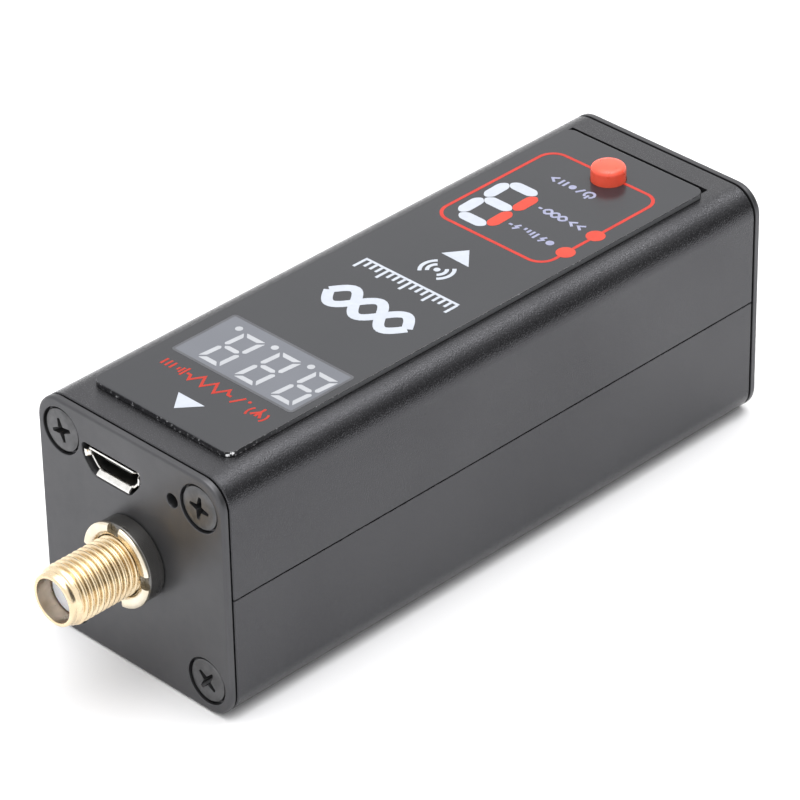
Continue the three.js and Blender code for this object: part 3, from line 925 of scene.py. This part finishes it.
def socket_tongue():
    """Moulded tongue and the block that holds it."""
    low, high = corners("usb_tongue")
    x0, x1 = low[0], high[0]
    stem = [(low[1], 0.12), (low[1] + 0.1, 0), (high[1] - 0.9, 0)]
    outline = rounded_box(x0, x1, USB_Z + 0.05, high[2], 0.12, 3)
    tongue = solid([[level_y(inset(outline, amount), y) for y, amount in stem]])
    block = rounded_box(x0 - 0.2, x1 + 0.2, low[2], high[2], 0.15, 3)
    return merge(tongue, solid([[level_y(block, high[1] - 1), level_y(block, high[1])]]))


def socket_contacts():
    """Five contacts let into the lower face of the tongue."""
    low, high = corners("usb_tongue")
    bars = []
    for i in range(5):
        x = (low[0] + high[0]) / 2 + (i - 2) * 0.65
        corner = (x - 0.16, low[1] + 0.3, USB_Z - 0.02)
        bars.append(box_mesh(corner, (x + 0.16, high[1] - 1.02, USB_Z + 0.1)))
    return gather(bars)


socket_tins = [tin.material, tin_inside_painted_shade.material]
piece("usb_socket_shell", socket_shell(), socket_tins, ["usb_shell"], angle=45)
piece("usb_socket_tongue", socket_tongue(), black_plastic.material, ["usb_tongue"])
piece("usb_socket_contacts", socket_contacts(), gold.material, round_by=0.02)


# ---------------------------------------------------------------- top panel
PANEL_FINISHES = [acrylic.material, acrylic_cut_painted_glints.material, acrylic_side_painted_light.material, acrylic_painted_glints.material]
CUT, SIDE, PAINTED_GLINTS = 1, 2, 3


def top_panel():
    """Sheet with the button's hole; its cut edges are rougher and carry painted glints, and one near corner
    has a denser patch of white painted glints.
    """
    outline = rounded_box(panel_low[0], panel_high[0], panel_low[1], panel_high[1], 1.2, 10)
    z0, z1 = panel_low[2], PANEL_TOP
    levels = [(z0, 0.05), (z0 + 0.05, 0), (z1 - 0.1, 0), (z1 - 0.035, 0.03), (z1, 0.1)]
    loops = [[level_z(inset(outline, amount), z) for z, amount in levels]]
    rim = list(reversed(circle(BUTTON_X, BUTTON_Y, BUTTON_HOLE, 48)))
    steps = [(z0, 0), (z1 - 0.03, 0), (z1, 0.03)]
    loops.append([level_z(inset(rim, amount), z) for z, amount in steps])
    bm = solid(loops)
    bmesh.ops.recalc_face_normals(bm, faces=bm.faces)
    for face in bm.faces:
        if abs(face.normal.z) < 0.5:
            centre = face.calc_center_median()
            flat_side = abs(face.normal.x) > 0.95 and abs(centre.x) > panel_high[0] - 0.2
            # Faces at the near +X corner, which get the white painted glints.
            glint_corner = face.normal.x > 0.5 and face.normal.y < -0.3 and centre.y < panel_low[1] + 1.2
            face.material_index = PAINTED_GLINTS if glint_corner else SIDE if flat_side else CUT
    return bm


piece("top_panel_sheet", top_panel(), PANEL_FINISHES, ["top_overlay"], angle=30)


# ---------------------------------------------------------------- printed marks, a thin layer on the panel
INK_LOW = PANEL_TOP - 0.02
INK_TOP = PANEL_TOP + 0.012
CROSSING_TOP = INK_TOP + 0.003  # of a line that crosses another one


def patch(outline, z1=INK_TOP):
    """A filled outline."""
    return prism(outline, INK_LOW, z1)


def ribbon(points, width, closed=False, z1=INK_TOP):
    """A drawn line of even width."""
    count = len(points)
    left, right = [], []
    for i, (x, y) in enumerate(points):
        before = points[i - 1] if closed or i else points[i]
        after = points[(i + 1) % count] if closed or i < count - 1 else points[i]
        here = Vector((x, y))
        first = here - Vector(before)
        second = Vector(after) - here
        first = first if first.length > 1e-9 else second
        second = second if second.length > 1e-9 else first
        a = Vector((-first.y, first.x)).normalized()
        b = Vector((-second.y, second.x)).normalized()
        mitre = (a + b) / max(0.35, 1 + a.dot(b)) * (width / 2)
        left.append((x + mitre.x, y + mitre.y))
        right.append((x - mitre.x, y - mitre.y))
    if closed:
        return solid([[level_z(side, INK_LOW), level_z(side, z1)] for side in (left, right)])
    return patch(left + right[::-1], z1)


def digit(cx, cy, width, height, stroke, gap, slant, soft):
    """Outlines of seven segments with mitred ends; the digit's top is towards -Y."""
    a, b, t, g = width / 2, height / 2, stroke, gap

    def flip(points, mirror_u, mirror_v):
        return [(u * mirror_u, v * mirror_v) for u, v in points]

    top = [(-a + g, b), (a - g, b), (a - g - t, b - t), (-a + g + t, b - t)]
    side = [(-a, b - g), (-a + t, b - t - g), (-a + t, t / 2 + g), (-a + t / 2, g), (-a, t / 2 + g * 0.6)]
    middle = [(-a + t / 2 + g, 0), (-a + t + g, t / 2), (a - t - g, t / 2)]
    middle += [(a - t / 2 - g, 0), (a - t - g, -t / 2), (-a + t + g, -t / 2)]
    segments = [top, flip(top, 1, -1), side, flip(side, 1, -1), flip(side, -1, 1), flip(side, -1, -1)]
    out = []
    for points in [*segments, middle]:
        placed = [(cx - (u + slant / 2 * v / b), cy - v) for u, v in points]
        out.append(soften(placed, soft, 4))
    return out


# Window of the three-digit display: an edge, a face and the segments, each a little higher
window_outer = rounded_box(-8.05, 8.8, -24.95, -16.25, 0.45, 6)
window_face = patch(inset(window_outer, 0.3), z1=INK_TOP + 0.004)
piece("display_window_edge", patch(window_outer), display_edge.material)
piece("display_window", window_face, display_grey.material)
outlines = []
for centre_x in (-3.5, 1.55, 6.6):
    outlines += digit(centre_x, -21.03, 3.0, 6.15, 0.58, 0.22, 0.45, 0.1)
    outlines.append(circle(centre_x - 2.28, -17.9, 0.4, 20))
digits = gather([patch(outline, z1=INK_TOP + 0.008) for outline in outlines])
piece("three_digit_segments", digits, segment_white.material)


def bar(start, end, width, point):
    """A long six-sided segment with softened corners."""
    a, b = Vector(start), Vector(end)
    along = (b - a).normalized()
    side = Vector((-along.y, along.x)) * (width / 2)
    inner_a, inner_b = a + along * point, b - along * point
    points = [a, inner_a - side, inner_b - side, b, inner_b + side, inner_a + side]
    return soften([tuple(p) for p in points], 0.45, 5)


def large_digit(cx, cy, width, height, stroke, gap, slant):
    """Outlines of seven long segments keyed a to g; the digit's top is towards -Y."""
    a, b = (width - stroke) / 2, (height - stroke) / 2
    nodes = {"a": ((a, b), (-a, b)), "g": ((a, 0), (-a, 0)), "d": ((a, -b), (-a, -b))}
    nodes.update({"f": ((a, b), (a, 0)), "e": ((a, 0), (a, -b))})
    nodes.update({"b": ((-a, b), (-a, 0)), "c": ((-a, 0), (-a, -b))})
    out = {}
    for key, (start, end) in nodes.items():
        p, q = Vector(start), Vector(end)
        along = (q - p).normalized() * gap
        p, q = p + along, q - along
        ends = [(cx + v.x + slant * v.y / height, cy - v.y) for v in (p, q)]
        out[key] = bar(*ends, stroke, stroke * 0.45)
    return out


# Single digit, with five segments pale and two lit red
marks = large_digit(-3.95, 16.72, 5.5, 9.3, 1.45, 0.08, 0.36)
pale = gather([patch(marks[key]) for key in "abcdg"])
piece("single_digit_pale_segments", pale, print_white.material)
lit = gather([patch(marks[key]) for key in "ef"])
piece("single_digit_red_segments", lit, lamp_red.material)

# Red line round the single digit, which stops at the button's hole, and two indicator dots on it
frame_line = rounded_box(-7.55, 7.6, 11.0, 28.6, 1.9, 10)
frame_ink = mesh_object("frame_ink", ribbon(frame_line, 0.39, closed=True))
button_gap = circle(BUTTON_X, BUTTON_Y, BUTTON_HOLE + 0.04)
carve(frame_ink, [prism(button_gap, INK_LOW - 1, INK_TOP + 1)])
piece("red_frame_line", frame_ink, line_red.material)
dots = [patch(circle(7.55, y, 1.02, 32), z1=INK_TOP + 0.004) for y in (14.5, 18.9)]
piece("indicator_windows", gather(dots), lamp_red.material)


def sine(x0, x1, y, height, waves, steps=40, phase=0.0):
    """Points on a sine wave; the phase is in turns."""
    points = []
    for i in range(steps + 1):
        x = x0 + (x1 - x0) * i / steps
        angle = 2 * math.pi * (waves * i / steps + phase)
        points.append((x, y + height * math.sin(angle)))
    return points


def crossing_waves(x0, x1, y, height, waves, width):
    """A standing wave: two waves in opposite phase, drawn as thick lines."""
    return [
        ribbon(sine(x0, x1, y, height, waves), width),
        ribbon(sine(x0, x1, y, height, waves, phase=0.5), width, z1=CROSSING_TOP),
    ]


def wave_arcs(cx, cy, radii, width):
    """A dot with arcs on both sides."""
    shapes = [patch(circle(cx, cy, 0.36, 20))]
    for radius in radii:
        shapes.append(ribbon(arc(cx, cy, radius, -48, 48, 12), width))
        shapes.append(ribbon(arc(cx, cy, radius, 132, 228, 12), width))
    return shapes


# White marks: an arrow head towards each end, the waves, a scale and radiating arcs
arrows = [
    patch([(-1.7, -29.74), (0.04, -31.95), (1.94, -29.73)]),
    patch([(-1.44, 5.9), (2.44, 5.8), (0.25, 8.2)]),
]
big_mark = crossing_waves(-4.6, 6.2, -6.7, 1.75, 1.5, 1.15)
scale_marks = [ribbon([(-6.2, -0.05), (6.8, -0.05)], 0.32)]
for i in range(17):
    x = -6.05 + i * 0.797
    tall = 1.75 if i % 4 == 0 else 1.05
    scale_marks.append(ribbon([(x, -0.2), (x, -0.2 - tall)], 0.34))
transmit_mark = wave_arcs(0.5, 3.3, (1.0, 1.75), 0.42)
white = gather(arrows + big_mark + scale_marks + transmit_mark)
piece("white_legend_marks", white, print_white.material)


def antenna_symbol(x, y, size, width):
    """Mast with a spread top; its top is towards -Y."""
    reach = size * 0.8
    spread = [(x - reach, y - size), (x, y + size * 0.1), (x + reach, y - size)]
    return [ribbon([(x, y + size), (x, y - size)], width), ribbon(spread, width, z1=CROSSING_TOP)]


def resistor_symbol(x0, x1, y, height, width):
    """Zigzag between two short leads."""
    points = [(x0, y), (x0 + 0.5, y)]
    turns = 6
    span = x1 - x0 - 1.0
    for i in range(turns):
        side = 1 if i % 2 else -1
        points.append((x0 + 0.5 + span * (i + 0.5) / turns, y + side * height))
    points += [(x1 - 0.5, y), (x1, y)]
    return [ribbon(points, width)]


def ground_symbol(x, y, width):
    """Three bars that get shorter, away from the line that comes in at +X."""
    shapes = []
    for i, half in enumerate((0.75, 0.5, 0.25)):
        shapes.append(ribbon([(x - i * 0.42, y - half), (x - i * 0.42, y + half)], width))
    return shapes


def bar_symbols(places, y, half, width):
    """Upright strokes of one height."""
    return [ribbon([(x, y - half), (x, y + half)], width) for x in places]


# Red row at the antenna end: an antenna, a dot and a slash, a load to ground, and bars
LOAD_ROW = -26.85
red_marks = antenna_symbol(6.6, LOAD_ROW, 0.78, 0.3)
red_marks += [ribbon(arc(6.6, -27.3, 1.15, start, start + 76, 8), 0.24) for start in (-38, 142)]
red_marks += [patch(circle(4.6, -26.3, 0.2, 12)), ribbon([(3.9, -26.1), (3.1, -27.6)], 0.28)]
red_marks += resistor_symbol(-3.6, 2.6, LOAD_ROW, 0.72, 0.3)
red_marks += ground_symbol(-3.95, LOAD_ROW, 0.26)
red_marks += bar_symbols((-5.6, -6.2, -6.8), LOAD_ROW, 0.55, 0.26)
piece("red_legend_marks", gather(red_marks), print_red.material)


def bolt_symbol(x, y, size, width):
    """A lightning stroke."""
    lean = 0.3 * size
    points = [(x - lean, y - size), (x + lean, y - 0.05), (x - lean, y + 0.05), (x + lean, y + size)]
    return [ribbon(points, width)]


def rising_bars(x0, y, count, step, width):
    """Strokes on one base line that get longer towards +X."""
    shapes = []
    for i in range(count):
        x, rise = x0 + i * step, 0.44 + 0.2 * i
        shapes.append(ribbon([(x, y + 0.55), (x, y + 0.55 - rise)], width))
    return shapes


def chevron_symbol(x, y, size, width):
    return [ribbon([(x + size, y - size), (x - size / 3, y), (x + size, y + size)], width)]


def power_symbol(x, y, radius, width):
    """An open ring with a stroke in its gap."""
    return [
        ribbon(arc(x, y, radius, -60, 240, 16), width),
        ribbon([(x, y - 0.1), (x, y - 0.85)], width),
    ]


# Three small rows: power with rising bars, matching with crossing waves, and the switch
thin = 0.29
POWER_ROW, MATCH_ROW, SWITCH_ROW = 14.75, 19.1, 24.4
blue = [ribbon([(-0.5, row), (-0.05, row)], thin) for row in (POWER_ROW, MATCH_ROW)]
blue += bolt_symbol(0.55, POWER_ROW, 0.55, thin)
blue += rising_bars(1.5, POWER_ROW, 4, 0.55, thin)
blue += bolt_symbol(4.1, POWER_ROW, 0.55, thin)
blue += [patch(circle(5.15, POWER_ROW, 0.45, 16))]
blue += crossing_waves(0.3, 3.3, MATCH_ROW, 0.45, 1.5, thin)
blue += chevron_symbol(4.05, MATCH_ROW, 0.48, thin)
blue += chevron_symbol(5.15, MATCH_ROW, 0.48, thin)
blue += power_symbol(1.6, SWITCH_ROW, 0.55, thin)
blue += [ribbon([(0.6, SWITCH_ROW + 0.5), (0.1, SWITCH_ROW - 0.5)], thin)]
blue += [patch(circle(-0.75, SWITCH_ROW, 0.42, 16))]
blue += bar_symbols((-1.7, -2.3), SWITCH_ROW, 0.5, thin)
blue += chevron_symbol(-3.4, SWITCH_ROW, 0.48, thin)
piece("blue_legend_marks", gather(blue), print_blue.material)


# ---------------------------------------------------------------- button
def button_cap():
    """Low round cap with a curved shoulder and a slight crown."""
    bottom, top = button_low[2], button_high[2]
    radius = (button_high[0] - button_low[0]) / 2
    shoulder = 0.5
    crown = 0.14
    profile = [(0, bottom), (radius - 0.1, bottom), (radius, bottom + 0.1)]
    for i in range(9):
        angle = math.radians(80 * i / 8)
        out = radius - shoulder * (1 - math.cos(angle))
        profile.append((out, top - crown - shoulder * (1 - math.sin(angle))))
    for share in (0.7, 0.5, 0.3, 0.15):
        profile.append((radius * share, top - crown * share**2 * 1.2))
    profile.append((0, top))
    bm = lathe(profile, 64)
    turn = Matrix.Rotation(math.pi / 2, 4, "X")
    return transform(bm, Matrix.Translation((BUTTON_X, BUTTON_Y, 0)) @ turn)


piece("power_button_cap", button_cap(), red_plastic.material, ["power_button"], "button")


# ---------------------------------------------------------------- floor, light and camera
SKY_LEVEL = 1.2


def stage_floor():
    """White paper under the meter."""
    bm = bmesh.new()
    bmesh.ops.create_grid(bm, x_segments=8, y_segments=8, size=420)
    bmesh.ops.translate(bm, vec=(0, 0, -0.05), verts=bm.verts)
    floor = mesh_object("floor", bm)
    paper = Finish("paper", (0.86, 0.86, 0.865), 0.9).mottle((0.84, 0.84, 0.845), 6).relief(300, 0.05, 0.05)
    floor.data.materials.append(paper.material)


def soft_light(name, place, target, size, power):
    data = bpy.data.lights.new(name, "AREA")
    data.shape = "RECTANGLE"
    data.size, data.size_y = size
    data.energy = power
    lamp = bpy.data.objects.new(name, data)
    lamp.location = place
    lamp.rotation_euler = (Vector(target) - Vector(place)).to_track_quat("-Z", "Y").to_euler()
    scene.collection.objects.link(lamp)


def sky():
    """White surroundings, brighter overhead and darker low down at the back right."""
    world = bpy.data.worlds.new("studio")
    world.use_nodes = True
    scene.world = world
    tree = world.node_tree
    back = tree.nodes["Background"]
    coords = tree.nodes.new("ShaderNodeTexCoord")

    def lobe(direction, start, end, value):
        """A round patch of the sky that fades from 1 to value between two cosines."""
        dot = tree.nodes.new("ShaderNodeVectorMath")
        dot.operation = "DOT_PRODUCT"
        dot.inputs[1].default_value = Vector(direction).normalized()
        tree.links.new(coords.outputs["Generated"], dot.inputs[0])
        span = tree.nodes.new("ShaderNodeMapRange")
        span.interpolation_type = "SMOOTHSTEP"
        for key, number in (("From Min", start), ("From Max", end), ("To Min", 1.0), ("To Max", value)):
            span.inputs[key].default_value = number
        tree.links.new(dot.outputs["Value"], span.inputs["Value"])
        return span.outputs[0]

    def times(a, b):
        node = tree.nodes.new("ShaderNodeMath")
        node.operation = "MULTIPLY"
        tree.links.new(a, node.inputs[0])
        tree.links.new(b, node.inputs[1])
        return node.outputs[0]

    shade_right = lobe((0.74, 0.588, 0.30), 0.80, 0.97, 0.08)
    overhead = lobe((0, 0, 1), 0.8, 0.96, 3.2)
    even = tree.nodes.new("ShaderNodeValue").outputs[0]
    even.default_value = SKY_LEVEL
    back.inputs["Color"].default_value = (1.0, 1.0, 1.005, 1)
    tree.links.new(times(times(shade_right, overhead), even), back.inputs["Strength"])


def camera():
    """Long lens, placed by a fit to the edges of the box in the photo."""
    azimuth, elevation, roll = -44.4955667, 32.9522962, -1.1145711
    data = bpy.data.cameras.new("camera")
    data.lens = 208.51
    data.sensor_width = 36
    data.clip_start = 0.01
    data.clip_end = 20
    view = bpy.data.objects.new("camera", data)
    turns = ((90 + azimuth, "Z"), (90 - elevation, "X"), (roll, "Z"))
    matrix = Matrix.Translation((0.279004, -0.275863, 0.267817))
    for angle, axis in turns:
        matrix = matrix @ Matrix.Rotation(math.radians(angle), 4, axis)
    view.matrix_world = matrix
    scene.collection.objects.link(view)
    scene.camera = view


stage_floor()
sky()
soft_light("top_box", (0.05, 0.1, 0.9), (0, 0, 0), (0.6, 0.5), 1.2)
soft_light("rear_lamp", (0.02, 0.53, 0.73), (0, 0, 0.02), (0.12, 0.12), 0.6)
camera()
scene.view_settings.view_transform = "Standard"
scene.view_settings.look = "None"
scene.view_settings.exposure = 0
scene.view_settings.gamma = 1
